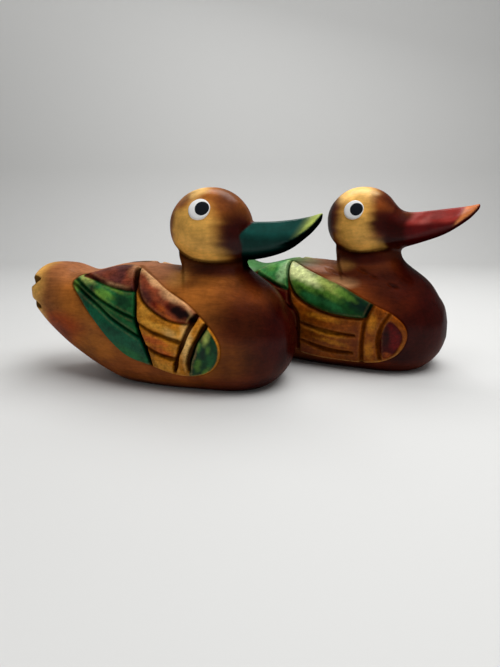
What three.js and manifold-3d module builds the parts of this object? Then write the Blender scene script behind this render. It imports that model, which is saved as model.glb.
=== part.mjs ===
// A pair of folk-carved wooden mandarin ducks, side by side and a little staggered. Each duck is one block of
// wood: a boat-shaped body with a scalloped tail, folded wings in relief, a neck, an egg-shaped head and an
// upturned bill. Its two round eyes are set on the head. Millimetres, +Z up, ducks facing +X.
import * as THREE from "three";
import { ConvexGeometry } from "three/addons/geometries/ConvexGeometry.js";
import { mergeVertices } from "three/addons/utils/BufferGeometryUtils.js";
import Module from "manifold-3d";

const wasm = await Module();
wasm.setup();

// Driving dimensions.
const BODY_RINGS = 20;
const BODY_SIDES = 20;
const BODY_ROUNDNESS = 2.3;
const BILL_RINGS = 8;
const BILL_SIDES = 10;
const BILL_ROUNDNESS = 2.6;
const NECK_RINGS = 6;
const NECK_SIDES = 14;
const NECK_BACK_ROUNDNESS = 4;
const HEAD_SIDES = 18;
const HEAD_RINGS = 10;
const HEAD_LOW_ROUNDNESS = 2.7;
const JAW_SIDES = 12;
const JAW_RINGS = 8;
const JAW_ROUNDNESS = 2.5;

// How far the wings and their coverts stand out from the body, and the cuts between the feathers.
const WING_RELIEF = 1.5;
const COVERT_RELIEF = 2.1;
const FINE_CUT = 1.1;
const DEEP_CUT = 2.6;
const WING_REACH = 60;
const BACK_STRIP = { rear: 11, front: 4.5, from: -60, to: 12, above: 30 };
const LINE_STEPS = 2;

// Notches round the rim of the tail: where they sit round the section, how wide at the rim and how deep.
const NOTCH_ANGLES = [-14, 31, 90, 149, 194];
const TAIL_NOTCH = { width: 5, depth: 4, inward: 0.72, length: 11, beyond: 2, reach: 10 };

// A painted eye disc: it follows the head, a hair's breadth off it.
const EYE = { radius: 6.1, sides: 12, gap: 0.35, thickness: 1.1 };

// Where the second duck stands beside the first, and how far it is turned.
const REAR_PLACE = { x: 85.5, y: 59.5, turn: -9 };

// Each duck's own shape. Body stations run from tail to breast: how high the back and belly are and half the
// width. Neck stations run upwards, and bill stations forwards. Wing lines are side-view points, [x, z].
const FRONT = {
  body: [
    { x: -86, top: 52, bottom: 44, half: 5 },
    { x: -84, top: 60, bottom: 37, half: 14 },
    { x: -77, top: 64.5, bottom: 29, half: 19 },
    { x: -65, top: 64.5, bottom: 18.5, half: 23 },
    { x: -50, top: 61, bottom: 8.5, half: 27 },
    { x: -28, top: 65.3, bottom: -2.5, half: 31.5 },
    { x: -4, top: 65, bottom: -6, half: 33.5 },
    { x: 20, top: 63, bottom: -6, half: 34.5 },
    { x: 42, top: 59, bottom: -5, half: 33 },
    { x: 57, top: 50.5, bottom: 1, half: 27 },
    { x: 66, top: 40, bottom: 10, half: 17 },
    { x: 69.5, top: 29, bottom: 19, half: 6 },
  ],
  neck: [
    { z: 34, x: 32, length: 36, half: 31 },
    { z: 45, x: 31.5, length: 31, half: 25 },
    { z: 55, x: 28.5, length: 24.2, half: 18 },
    { z: 64, x: 24.8, length: 18.3, half: 13.5 },
    { z: 71, x: 23.5, length: 18.5, half: 12.5 },
    { z: 78, x: 23, length: 18, half: 12 },
  ],
  head: { x: 22, z: 87, length: 22.7, half: 20, height: 20 },
  jaw: { x: 30, z: 77.5, length: 13, half: 14.5, height: 10.5 },
  bill: [
    { x: 34, top: 89, bottom: 68.5, half: 9 },
    { x: 46, top: 89, bottom: 69.2, half: 11 },
    { x: 57, top: 89.5, bottom: 71.5, half: 12.5 },
    { x: 67, top: 90.5, bottom: 75.8, half: 13.5 },
    { x: 75, top: 92, bottom: 82, half: 13.5 },
    { x: 80, top: 93.5, bottom: 87.5, half: 10 },
    { x: 82, top: 94, bottom: 91, half: 4 },
  ],
  wing: {
    outline: [
      [-54, 56], [-47, 62], [-38, 67], [-27, 66.5], [-19, 65.2], [-11, 63], [-3, 59.6], [5, 55.2], [17.5, 49],
      [26, 42.3], [32, 35.8], [35.5, 29], [35, 21], [30, 14.5], [21, 11], [10, 11.5], [-2, 15], [-15, 19],
      [-25, 26.5], [-35, 37], [-44, 46.5],
    ],
    coverts: [
      [[-50, 59.5], [-30, 72], [-18, 72], [-15, 62], [-12, 54], [-23, 54.5], [-36, 57]],
      [
        [-15, 66], [-3, 62], [5, 57.5], [17.5, 51], [26, 44], [20, 39.5], [9, 40.5], [0, 44.5], [-7, 49.5],
        [-11, 57],
      ],
    ],
    fine: [
      [[-55, 60.5], [-36, 57], [-23, 54.5], [-12.5, 53.5]],
      [[-57, 59], [-35, 50], [-21, 44], [-10.5, 40.5]],
      [[-56, 56.5], [-35, 47], [-23, 39], [-8, 31]],
      [[-12, 57], [-7, 49.5], [0, 44.5], [9, 40.5], [21, 39]],
      [[-9, 38.5], [0, 34], [14, 30]],
      [[-6, 27.5], [3, 22.5], [12, 20.5]],
    ],
    deep: [
      [[-15, 62.5], [-12.8, 56.5], [-10.8, 48], [-9.8, 39], [-4, 23], [-2, 13]],
      [[25, 46], [20, 38], [15.5, 28], [12.5, 20], [10.5, 13]],
      [[31, 43], [26.5, 36], [22, 28], [19, 20], [18.5, 14.5]],
    ],
    hollow: [],
  },
  eye: { x: 21, z: 96 },
};
const REAR = {
  body: [
    { x: -84.5, top: 50, bottom: 44, half: 5 },
    { x: -82.5, top: 58, bottom: 37, half: 14 },
    { x: -75.5, top: 62.5, bottom: 29, half: 19 },
    { x: -63.5, top: 62.5, bottom: 18.5, half: 23 },
    { x: -48.5, top: 59, bottom: 8.5, half: 27 },
    { x: -26.5, top: 63.3, bottom: -2.5, half: 31.5 },
    { x: -2.5, top: 63, bottom: -6, half: 33.5 },
    { x: 21.5, top: 61.5, bottom: -6, half: 34.5 },
    { x: 43.5, top: 57.5, bottom: -5, half: 33 },
    { x: 58.5, top: 49.5, bottom: 0.5, half: 27 },
    { x: 67.5, top: 39.5, bottom: 9.5, half: 17 },
    { x: 71, top: 29, bottom: 19, half: 6 },
  ],
  neck: [
    { z: 34, x: 32, length: 36.5, half: 31 },
    { z: 45, x: 30, length: 33, half: 25 },
    { z: 55, x: 28, length: 25.5, half: 19 },
    { z: 64, x: 23, length: 20.5, half: 14 },
    { z: 71, x: 21, length: 19.3, half: 12.5 },
    { z: 78, x: 20, length: 18, half: 12 },
  ],
  head: { x: 16.5, z: 88.2, length: 21.5, half: 20, height: 20 },
  jaw: { x: 25, z: 80, length: 13, half: 14, height: 10.5 },
  bill: [
    { x: 24, top: 101, bottom: 70, half: 12 },
    { x: 33, top: 97.5, bottom: 71, half: 13 },
    { x: 43, top: 93.5, bottom: 73, half: 12 },
    { x: 56, top: 94.5, bottom: 77.5, half: 12 },
    { x: 67, top: 95.8, bottom: 82.3, half: 13 },
    { x: 76, top: 97, bottom: 89, half: 11 },
    { x: 80.5, top: 98, bottom: 94, half: 7 },
    { x: 82, top: 98.3, bottom: 96.5, half: 3.5 },
  ],
  wing: {
    outline: [
      [-50, 52], [-43, 58], [-35, 64], [-25, 62.8], [-15, 59.8], [-3, 55.8], [11, 51.3], [22.5, 46.2],
      [33, 41.5], [42, 37.5], [49, 31], [50.5, 23], [46, 14], [37, 8.5], [26, 6.5], [13, 6.5], [-2, 7],
      [-14, 9.5], [-28, 20], [-41, 38],
    ],
    coverts: [
      [[-46, 55.5], [-36, 70], [-27, 70], [-25, 60], [-21.5, 47.5], [-29, 49], [-38, 52]],
      [
        [-24, 65], [-15, 61.5], [-3, 57.5], [11, 53], [22.5, 48], [31, 43.5], [28, 35], [11, 35], [-4, 38.5],
        [-15, 44], [-22, 53],
      ],
    ],
    fine: [
      [[-52, 56], [-38, 52], [-29, 49], [-20, 47]],
      [[-53, 54], [-36, 44], [-17, 36.5]],
      [[-52, 51], [-34, 35], [-13, 24]],
      [[-23, 53], [-15, 43.5], [-4, 38], [10, 34.5], [28, 34]],
      [[-13, 29], [5, 24.5], [21, 24]],
      [[-12, 18], [5, 13.5], [20, 13]],
      [[-27, 72], [-25, 60], [-21, 48], [-19, 40], [-14, 33], [-13, 20], [-14, 5]],
      [[33, 47], [28, 36], [26, 26], [25.5, 4]],
      [[42, 40], [36.5, 31], [35, 22], [36, 11]],
    ],
    deep: [],
    hollow: [[40, 33.5], [36.5, 26], [36, 16], [39, 11.5], [45, 16], [48, 24], [45.5, 30]],
  },
  eye: { x: 14, z: 95 },
};

// A value that runs smoothly through the stations: share 0 is the first station and 1 the last.
function along(stations, key, share) {
  const curve = new THREE.SplineCurve(stations.map((s, i) => new THREE.Vector2(i, s[key])));
  return curve.getPoint(share).y;
}

// A closed solid through rings that all have the same number of points.
function loft(rings) {
  const sides = rings[0].length;
  const points = rings.flat();
  const faces = [];
  for (let r = 0; r + 1 < rings.length; r++) {
    for (let i = 0; i < sides; i++) {
      const a = r * sides + i;
      const b = r * sides + ((i + 1) % sides);
      faces.push(a, b, a + sides, b, b + sides, a + sides);
    }
  }
  for (const [first, flip] of [[0, true], [(rings.length - 1) * sides, false]]) {
    const middle = new THREE.Vector3();
    for (let i = 0; i < sides; i++) middle.addScaledVector(points[first + i], 1 / sides);
    points.push(middle);
    for (let i = 0; i < sides; i++) {
      const pair = [first + i, first + ((i + 1) % sides)];
      faces.push(...(flip ? pair.reverse() : pair), points.length - 1);
    }
  }
  const geometry = new THREE.BufferGeometry().setFromPoints(points).setIndex(faces);
  return solidOf(geometry);
}

function solidOf(geometry) {
  const plain = new THREE.BufferGeometry().setAttribute("position", geometry.getAttribute("position"));
  plain.setIndex(geometry.index);
  const merged = mergeVertices(plain, 1e-4);
  const solid = new wasm.Manifold(
    new wasm.Mesh({
      numProp: 3,
      vertProperties: merged.attributes.position.array,
      triVerts: new Uint32Array(merged.index.array),
    }),
  );
  return solid;
}

function geometryOf(solid) {
  const mesh = solid.getMesh();
  const position = new THREE.BufferAttribute(new Float32Array(mesh.vertProperties), 3);
  const geometry = new THREE.BufferGeometry().setAttribute("position", position);
  geometry.setIndex(new THREE.BufferAttribute(mesh.triVerts, 1));
  geometry.computeVertexNormals();
  return geometry;
}

// A point of a rounded-square ring: share 0 to 1 goes once round it.
function superellipse(share, roundness) {
  const angle = share * 2 * Math.PI;
  const [c, s] = [Math.cos(angle), Math.sin(angle)];
  const power = 2 / roundness;
  return [Math.sign(c) * Math.abs(c) ** power, Math.sign(s) * Math.abs(s) ** power];
}

function bodySolid(stations, extra = 0) {
  const rings = [];
  for (let r = 0; r <= BODY_RINGS; r++) {
    const share = r / BODY_RINGS;
    const [x, top, bottom, half] = ["x", "top", "bottom", "half"].map((key) => along(stations, key, share));
    const middle = (top + bottom) / 2;
    const rise = (top - bottom) / 2 + extra;
    const ring = [];
    for (let i = 0; i < BODY_SIDES; i++) {
      const [y, z] = superellipse(i / BODY_SIDES, BODY_ROUNDNESS);
      ring.push(new THREE.Vector3(x, y * (half + extra), Math.max(0, middle + z * rise)));
    }
    rings.push(ring);
  }
  return loft(rings);
}

// The neck is round at the front and squared off at the back, where it was sawn down to the body.
function neckSolid(stations) {
  const rings = [];
  for (let r = 0; r <= NECK_RINGS; r++) {
    const share = r / NECK_RINGS;
    const [z, x, length, half] = ["z", "x", "length", "half"].map((key) => along(stations, key, share));
    const ring = [];
    for (let i = 0; i < NECK_SIDES; i++) {
      const backwards = Math.abs(i / NECK_SIDES - 0.5) < 0.25;
      const [u, v] = superellipse(i / NECK_SIDES, backwards ? NECK_BACK_ROUNDNESS : 2);
      ring.push(new THREE.Vector3(x + u * length, v * half, z));
    }
    rings.push(ring);
  }
  return loft(rings);
}

// An egg-shaped head that is fuller below its middle, down to the crease round the neck.
function headSolid(head, extra = 0) {
  const ball = new THREE.SphereGeometry(1, HEAD_SIDES, HEAD_RINGS);
  ball.rotateX(Math.PI / 2);
  const spot = ball.getAttribute("position");
  for (let i = 0; i < spot.count; i++) {
    const [y, z] = [spot.getY(i), spot.getZ(i)];
    if (z >= 0) continue;
    const sum = Math.abs(y) ** HEAD_LOW_ROUNDNESS + Math.abs(z) ** HEAD_LOW_ROUNDNESS;
    const fuller = Math.hypot(y, z) / sum ** (1 / HEAD_LOW_ROUNDNESS);
    spot.setY(i, y * fuller);
    spot.setZ(i, z * fuller);
  }
  ball.scale(head.length + extra, head.half + extra, head.height + extra);
  ball.translate(head.x, 0, head.z);
  return solidOf(ball);
}

// The cheeks and jaw, a rounded block low down between the head and the bill.
function jawSolid(jaw) {
  const ball = new THREE.SphereGeometry(1, JAW_SIDES, JAW_RINGS);
  ball.rotateX(Math.PI / 2);
  const spot = ball.getAttribute("position");
  for (let i = 0; i < spot.count; i++) {
    const at = new THREE.Vector3().fromBufferAttribute(spot, i);
    const sum = at.toArray().reduce((total, v) => total + Math.abs(v) ** JAW_ROUNDNESS, 0);
    at.multiplyScalar(sum ** (-1 / JAW_ROUNDNESS));
    spot.setXYZ(i, at.x, at.y, at.z);
  }
  ball.scale(jaw.length, jaw.half, jaw.height);
  ball.translate(jaw.x, 0, jaw.z);
  return solidOf(ball);
}

function billSolid(stations) {
  const rings = [];
  for (let r = 0; r <= BILL_RINGS; r++) {
    const share = r / BILL_RINGS;
    const [x, top, bottom, half] = ["x", "top", "bottom", "half"].map((key) => along(stations, key, share));
    const ring = [];
    for (let i = 0; i < BILL_SIDES; i++) {
      const [y, z] = superellipse(i / BILL_SIDES, BILL_ROUNDNESS);
      ring.push(new THREE.Vector3(x, y * half, (top + bottom) / 2 + (z * (top - bottom)) / 2));
    }
    rings.push(ring);
  }
  return loft(rings);
}

// A straight-sided block with a side-view outline, reaching out from the middle of the duck to one side.
function sideBlock(outline, side) {
  const depth = { depth: WING_REACH, bevelEnabled: false };
  const block = new THREE.ExtrudeGeometry(new THREE.Shape(outline), depth);
  block.rotateX(Math.PI / 2);
  if (side > 0) block.translate(0, WING_REACH, 0);
  return solidOf(block);
}

function flatPoints(list) {
  return list.map(([u, v]) => new THREE.Vector2(u, v));
}

// The outline of a cut of even width that follows a smooth line.
function ribbon(line, width) {
  const curve = new THREE.SplineCurve(flatPoints(line));
  const steps = LINE_STEPS * (line.length - 1);
  const left = [];
  const right = [];
  for (let i = 0; i <= steps; i++) {
    const point = curve.getPoint(i / steps);
    const heading = curve.getTangent(i / steps);
    const across = new THREE.Vector2(-heading.y, heading.x).multiplyScalar(width / 2);
    left.push(point.clone().add(across));
    right.unshift(point.clone().sub(across));
  }
  return [...right, ...left];
}

// The strip along the middle of the back that the two wings leave free.
function backStrip() {
  const { rear, front, from, to, above } = BACK_STRIP;
  const plan = flatPoints([[from, -rear], [to, -front], [to, front], [from, rear]]);
  const strip = new THREE.ExtrudeGeometry(new THREE.Shape(plan), { depth: WING_REACH, bevelEnabled: false });
  strip.translate(0, 0, above);
  return solidOf(strip);
}

function wingSolid(shape, side) {
  const { outline, coverts, fine, deep, hollow } = shape.wing;
  const area = sideBlock(flatPoints(outline), side).subtract(backStrip());
  let wing = bodySolid(shape.body, WING_RELIEF).intersect(area);
  for (const covert of coverts) {
    const raised = sideBlock(flatPoints(covert), side).intersect(area);
    wing = wing.add(bodySolid(shape.body, COVERT_RELIEF).intersect(raised));
  }
  for (const line of fine) wing = wing.subtract(sideBlock(ribbon(line, FINE_CUT), side));
  for (const line of deep) wing = wing.subtract(sideBlock(ribbon(line, DEEP_CUT), side));
  if (hollow.length) wing = wing.subtract(sideBlock(flatPoints(hollow), side));
  return wing;
}

// A V-shaped notch that opens towards the end of the tail, at one place round its rim.
function tailNotch(stations, degrees) {
  const rim = stations[2];
  const [y, z] = superellipse(degrees / 360, BODY_ROUNDNESS);
  const out = new THREE.Vector3(0, y * rim.half, (z * (rim.top - rim.bottom)) / 2);
  const radius = out.length();
  out.normalize();
  const across = new THREE.Vector3(0, -out.z, out.y);
  const centreHeight = (rim.top + rim.bottom) / 2;
  const corner = (x, distance, aside) =>
    new THREE.Vector3(x, 0, centreHeight).addScaledVector(out, distance).addScaledVector(across, aside);
  const mouth = stations[0].x - TAIL_NOTCH.beyond;
  const outside = radius + TAIL_NOTCH.reach;
  const spread = ((TAIL_NOTCH.width / 2) * (TAIL_NOTCH.depth + TAIL_NOTCH.reach)) / TAIL_NOTCH.depth;
  return solidOf(
    new ConvexGeometry([
      corner(stations[0].x + TAIL_NOTCH.length, radius, 0),
      corner(mouth, radius * (1 - TAIL_NOTCH.inward), 0),
      corner(mouth, outside, spread),
      corner(mouth, outside, -spread),
    ]),
  );
}

function duckSolid(shape) {
  let body = bodySolid(shape.body).add(wingSolid(shape, 1)).add(wingSolid(shape, -1));
  for (const angle of NOTCH_ANGLES) body = body.subtract(tailNotch(shape.body, angle));
  const head = headSolid(shape.head).add(jawSolid(shape.jaw)).add(billSolid(shape.bill));
  return body.add(neckSolid(shape.neck)).add(head);
}

// An eye disc: a slice of a slightly larger head, cut round where the eye sits.
function eyeSolid(shape, side) {
  const { head, eye } = shape;
  const run = (eye.x - head.x) / head.length;
  const rise = (eye.z - head.z) / head.height;
  const aside = side * Math.sqrt(1 - run ** 2 - rise ** 2);
  const facing = new THREE.Vector3(run / head.length, aside / head.half, rise / head.height).normalize();
  const rod = new THREE.CylinderGeometry(EYE.radius, EYE.radius, 2 * EYE.radius, EYE.sides);
  rod.applyQuaternion(new THREE.Quaternion().setFromUnitVectors(new THREE.Vector3(0, 1, 0), facing));
  rod.translate(eye.x, aside * head.half, eye.z);
  const shell = headSolid(head, EYE.gap + EYE.thickness).subtract(headSolid(head, EYE.gap));
  return shell.intersect(solidOf(rod));
}

function addPiece(group, name, solid, finish) {
  const mesh = new THREE.Mesh(geometryOf(solid), new THREE.MeshStandardMaterial(finish));
  mesh.name = name;
  group.add(mesh);
  return mesh;
}

const WOOD = { color: 0x8a4a1c, roughness: 0.4, metalness: 0 };
const WHITE = { color: 0xeeeeea, roughness: 0.25, metalness: 0 };
const pair = new THREE.Group();
for (const [name, shape] of [["front", FRONT], ["rear", REAR]]) {
  const pieces = [
    addPiece(pair, `${name}_duck`, duckSolid(shape), WOOD),
    addPiece(pair, `${name}_duck_left_eye`, eyeSolid(shape, 1), WHITE),
    addPiece(pair, `${name}_duck_right_eye`, eyeSolid(shape, -1), WHITE),
  ];
  if (shape !== REAR) continue;
  for (const piece of pieces) {
    piece.geometry.rotateZ(THREE.MathUtils.degToRad(REAR_PLACE.turn));
    piece.geometry.translate(REAR_PLACE.x, REAR_PLACE.y, 0);
  }
}

// The pair stands on z = 0 with the middle of its outline at the origin.
const bounds = new THREE.Box3().setFromObject(pair);
const middle = bounds.getCenter(new THREE.Vector3());
for (const piece of pair.children) piece.geometry.translate(-middle.x, -middle.y, -bounds.min.z);
export default pair;
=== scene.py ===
"""A pair of folk-carved ducks in stained wood, dressed for the camera.

Each duck is carved here again from the same few stations as its solid: body, neck, head and bill are blended
into one skin, the skin is made finer along every cut, and the wings are raised and cut into it. The stains and
paints are worked out over the skin from the same lines, and the wood's grain comes from the materials.
Lengths are millimetres in each duck's own measure, where +X is the way it faces, until they are placed.
"""
import math

import bpy
import numpy as np
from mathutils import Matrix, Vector


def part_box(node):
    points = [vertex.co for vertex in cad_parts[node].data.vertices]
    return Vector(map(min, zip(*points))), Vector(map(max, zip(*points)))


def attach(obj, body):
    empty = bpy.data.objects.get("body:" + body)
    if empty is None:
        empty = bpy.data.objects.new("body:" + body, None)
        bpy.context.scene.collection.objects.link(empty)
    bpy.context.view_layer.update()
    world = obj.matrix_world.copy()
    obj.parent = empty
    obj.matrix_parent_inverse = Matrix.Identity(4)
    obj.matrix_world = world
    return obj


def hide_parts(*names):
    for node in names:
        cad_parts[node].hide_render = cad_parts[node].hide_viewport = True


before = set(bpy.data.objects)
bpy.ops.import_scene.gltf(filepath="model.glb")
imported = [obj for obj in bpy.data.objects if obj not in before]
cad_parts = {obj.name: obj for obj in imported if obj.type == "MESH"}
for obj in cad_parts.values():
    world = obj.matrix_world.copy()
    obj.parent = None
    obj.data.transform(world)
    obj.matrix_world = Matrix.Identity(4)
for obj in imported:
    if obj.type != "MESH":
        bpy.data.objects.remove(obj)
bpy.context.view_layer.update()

MM = 0.001

# How fine the skin is: the first net, the edges near the cuts and creases, and how often edges are halved.
NET_STEP = 1.5
FINE_EDGE = 0.42
MEDIUM_EDGE = 0.85
NICK_EDGE = FINE_EDGE * 1.3
HEAD_EDGE = MEDIUM_EDGE * 1.1
AT_CUT, BESIDE_CUT = 1.6, 3.2
REFINE_PASSES = 3
TOO_LONG = 1.4
PROBE = 0.05
FAR = 99.0

# Shapes of the sections, and how softly they meet.
BODY_ROUNDNESS = 2.3
NECK_BACK_SQUARE = 4.0
NECK_SPAN = (34, 80)
HEAD_LOW_SQUARE = 2.7
HEAD_FROM = 66
JAW_SQUARE = 2.5
BILL_FLAT = 0.34
BILL_ROOF = 0.85
BILL_KEEL = 0.22
STATION_SAMPLES = 400
BLEND = {"end": 1.2, "base": 1.0, "jaw": 4.0, "head": 0.6, "roof": 2.5, "keel": 3.0, "bill_end": 0.8}
FILLET = {"ahead": (-0.5, 0.7, 16), "width": (0, 7, 8.5)}

# The carving.
WING_RELIEF = 1.25
COVERT_RELIEF = 0.6
PILLOW, PILLOW_RUN = 0.35, 2.2
EDGE_RUN = 0.9
STRIP_RUN, STRIP_SHARE = 9, 0.65
HOLLOW_DEPTH = 1.1
NICK_SLANT = 0.35
BACK_STRIP = {"x": (-60, 12), "half": (11, 4.5)}
TAIL_NOTCH = {"angles": (-14, 31, 90), "slope": 0.72, "inward": 0.72, "length": 11, "beyond": 2, "depth": 0.8}

EYE = {"radius": 6.0, "stand": 1.15, "sink": 0.4, "pupil": 3.85, "pupil_ahead": 2.0, "dome": 0.22, "sides": 72}

FRONT = {
    "body": [
        (-86, 52, 44, 5), (-84, 60, 37, 14), (-77, 64.5, 29, 19), (-65, 64.5, 18.5, 23), (-50, 61, 8.5, 27),
        (-28, 65.3, -2.5, 31.5), (-4, 65, -6, 33.5), (20, 63, -6, 34.5), (42, 59, -5, 33), (57, 50.5, 1, 27),
        (66, 40, 10, 17), (69.5, 29, 19, 6),
    ],
    "neck": [
        (34, 32, 36, 31), (45, 31.5, 31, 25), (55, 28.5, 24.2, 18), (64, 24.8, 18.3, 13.5),
        (71, 23.5, 18.5, 12.5), (78, 23, 18, 12),
    ],
    "head": {"centre": (22, 0, 87), "radii": (22.7, 20, 20)},
    "jaw": {"centre": (30, 0, 77.5), "radii": (13, 14.5, 10.5)},
    "bill": [
        (34, 89, 68.5, 9), (46, 89, 69.2, 11), (57, 89.5, 71.5, 12.5), (67, 90.5, 75.8, 13.5),
        (75, 92, 82, 13.5), (80, 93.5, 87.5, 10), (82, 94, 91, 4),
    ],
    "bill_blend": 1.2,
    "saw_line": {"x": 9.2, "lean": 0.36, "from": 11},
    "cuts": {
        "fine": {"soft": 1.1, "depth": 0.75, "dark": 0.8},
        "deep": {"soft": 0.5, "depth": 2.2, "dark": 1.0},
    },
    "nicks": [],
    "paint_edge": {"x": 40.6, "soft": 1.0, "lean": 5},
    "bill_facet": {"x": 71.5, "z": 84, "lean": 0.55, "soft": 4.2, "keel": (5.6, 2.6), "on_top": 1, "shade": 0.08},
    "bill_scuffs_and_highlights": 0.0,
    "eye": (21, 96),
    "wing": [
        (-54, 56), (-47, 62), (-38, 67), (-27, 66.5), (-19, 65.2), (-11, 63), (-3, 59.6), (5, 55.2),
        (17.5, 49), (26, 42.3), (32, 35.8), (35.5, 29), (35, 21), (30, 14.5), (21, 11), (10, 11.5), (-2, 15),
        (-15, 19), (-25, 26.5), (-35, 37), (-44, 46.5),
    ],
    "coverts": [
        [(-50, 59.5), (-30, 74), (-18, 74), (-15, 62), (-12, 54), (-23, 54.5), (-36, 57)],
        [(-15, 67), (-3, 64), (5, 59.5), (17.5, 53), (26.5, 45), (20, 39.5), (9, 40.5), (0, 44.5), (-7, 49.5),
         (-11, 57)],
    ],
    "fine": [
        [(-55, 60.5), (-36, 57), (-23, 54.5), (-12.5, 53.5)],
        [(-57, 59), (-35, 50), (-21, 44), (-10.5, 40.5)],
        [(-56, 56.5), (-35, 47), (-23, 39), (-8, 31)],
        [(-12, 57), (-7, 49.5), (0, 44.5), (9, 40.5), (21, 39)],
        [(-9, 38.5), (0, 34), (14, 30)],
        [(-6, 27.5), (3, 22.5), (12, 20.5)],
    ],
    "deep": [
        [(-15, 62.5), (-12.8, 56.5), (-10.8, 48), (-9.8, 39), (-4, 23), (-2, 13)],
        [(25, 46), (20, 38), (15.5, 28), (12.5, 20), (10.5, 13)],
        [(31, 43), (26.5, 36), (22, 28), (19, 20), (18.5, 14.5)],
    ],
    "fine_half": [(0.2, 0.3), (0.15, 0.4), (0.2, 0.45), (0.35, 0.2, 0.2), (0.2, 0.9), (0.2, 1.1)],
    "deep_half": [
        (1.4, 1.3, 0.5, 0.8, 0.8, 1, 0.9, 0.4), (0.7, 1.5, 1.1, 1.3, 0.6, 1.4, 0.6),
        (0.5, 1.4, 1, 1.6, 1.3, 0.7),
    ],
    "hollow": [],
}
REAR = {
    "body": [
        (-84.5, 50, 44, 5), (-82.5, 58, 37, 14), (-75.5, 62.5, 29, 19), (-63.5, 62.5, 18.5, 23),
        (-48.5, 59, 8.5, 27), (-26.5, 63.3, -2.5, 31.5), (-2.5, 63, -6, 33.5), (21.5, 61.5, -6, 34.5),
        (43.5, 57.5, -5, 33), (58.5, 49.5, 0.5, 27), (67.5, 39.5, 9.5, 17), (71, 29, 19, 6),
    ],
    "neck": [
        (34, 32, 36.5, 31), (45, 30, 33, 25), (55, 28, 25.5, 19), (64, 23, 20.5, 14), (71, 21, 19.3, 12.5),
        (78, 20, 18, 12),
    ],
    "head": {"centre": (16.5, 0, 88.2), "radii": (21.5, 20, 20)},
    "jaw": {"centre": (25, 0, 80), "radii": (13, 14, 10.5)},
    "bill": [
        (24, 101, 70, 12), (33, 97.5, 71, 13), (43, 93.5, 73, 12), (56, 94.5, 77.5, 12), (67, 95.8, 82.3, 13),
        (76, 97, 89, 11), (80.5, 98, 94, 7), (82, 98.3, 96.5, 3.5),
    ],
    "bill_blend": 3.5,
    "saw_line": {"x": 5.4, "lean": 0.42, "from": 12},
    "cuts": {
        "fine": {"soft": 1.4, "depth": 1.0, "dark": 0.7},
        "deep": {"soft": 0.6, "depth": 2.0, "dark": 1.0},
    },
    "nicks": [
        ((3, 58.5), (7, 1.3), 0.9), ((11, 57), (4.5, 1.0), 0.7), ((40, 52.5), (4.5, 1.5), 1.9),
        ((21, 60), (5, 1.5), 1.1), ((28, 57), (4, 1.2), 0.9),
    ],
    "paint_edge": {"x": 41.0, "soft": 5.0, "lean": 3},
    "bill_facet": {"x": 67.6, "z": 84, "lean": 0.51, "soft": 1.0, "keel": (2.6, 2.2), "on_top": 0.6, "shade": 0.4},
    "bill_scuffs_and_highlights": 0.24,
    "eye": (14, 95),
    "wing": [
        (-50, 52), (-43, 58), (-35, 64), (-25, 62.8), (-15, 59.8), (-3, 55.8), (11, 51.3), (22.5, 46.2),
        (33, 41.5), (42, 37.5), (49, 31), (50.5, 23), (46, 14), (37, 8.5), (26, 6.5), (13, 6.5), (-2, 7),
        (-14, 9.5), (-28, 20), (-41, 38),
    ],
    "coverts": [
        [(-46, 55.5), (-36, 72), (-27, 72), (-25, 60), (-21.5, 47.5), (-29, 49), (-38, 52)],
        [(-24, 67), (-15, 63.5), (-3, 59.5), (11, 55), (22.5, 50), (31.5, 44.5), (28, 35), (11, 35),
         (-4, 38.5), (-15, 44), (-22, 53)],
    ],
    "fine": [
        [(-52, 56), (-38, 52), (-29, 49), (-20, 47)],
        [(-53, 54), (-36, 44), (-17, 36.5)],
        [(-52, 51), (-34, 35), (-13, 24)],
        [(-23, 53), (-15, 43.5), (-4, 38), (10, 34.5), (28, 34)],
        [(-13, 29), (5, 24.5), (21, 24)],
        [(-12, 18), (5, 13.5), (20, 13)],
        [(-27, 72), (-25, 60), (-21, 48), (-19, 40), (-14, 33), (-13, 20), (-14, 5)],
        [(33, 47), (28, 36), (26, 26), (25.5, 4)],
        [(42, 40), (36.5, 31), (35, 22), (36, 11)],
    ],
    "fine_half": [
        (0.2, 0.3), (0.2, 0.3), (0.2, 0.3), (0.3, 0.2, 0.1), (0.1, 0.9, 0.1), (0.1, 0.9, 0.1),
        (0.2, 0.4, 0.5, 0.3), (0.9, 0.8, 0.4, 0.6), (0.2, 0.4, 0.8, 0.4),
    ],
    "deep": [],
    "deep_half": [],
    "hollow": [(40, 33.5), (36.5, 26), (36, 16), (39, 11.5), (45, 16), (48, 24), (45.5, 30)],
}

# Where each block of wood stands: its own origin in the row, and how far it is turned.
front_low, front_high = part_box("front_duck")
FRONT["place"] = (front_low.x / MM - FRONT["body"][0][0], (front_low.y + front_high.y) / 2 / MM, 0)
FRONT["turn"] = 0.0
REAR_OFFSET = (85.5, 59.5)
REAR["place"] = (FRONT["place"][0] + REAR_OFFSET[0], FRONT["place"][1] + REAR_OFFSET[1], 0)
REAR["turn"] = math.radians(-9)


# Smooth runs and distances.

def smooth_run(values, samples):
    """Evenly spread samples of a smooth curve through rows of values."""
    values = np.asarray(values, float)
    last = len(values) - 1
    at = np.linspace(0, last, samples)
    i = np.minimum(at.astype(int), last - 1)
    t = (at - i)[:, None]
    before, here = values[np.maximum(i - 1, 0)], values[i]
    there, after = values[i + 1], values[np.minimum(i + 2, last)]
    m0, m1 = (there - before) / 2, (after - here) / 2
    return ((2 * here - 2 * there + m0 + m1) * t**3 + (-3 * here + 3 * there - 2 * m0 - m1) * t**2
            + m0 * t + here)


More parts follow.
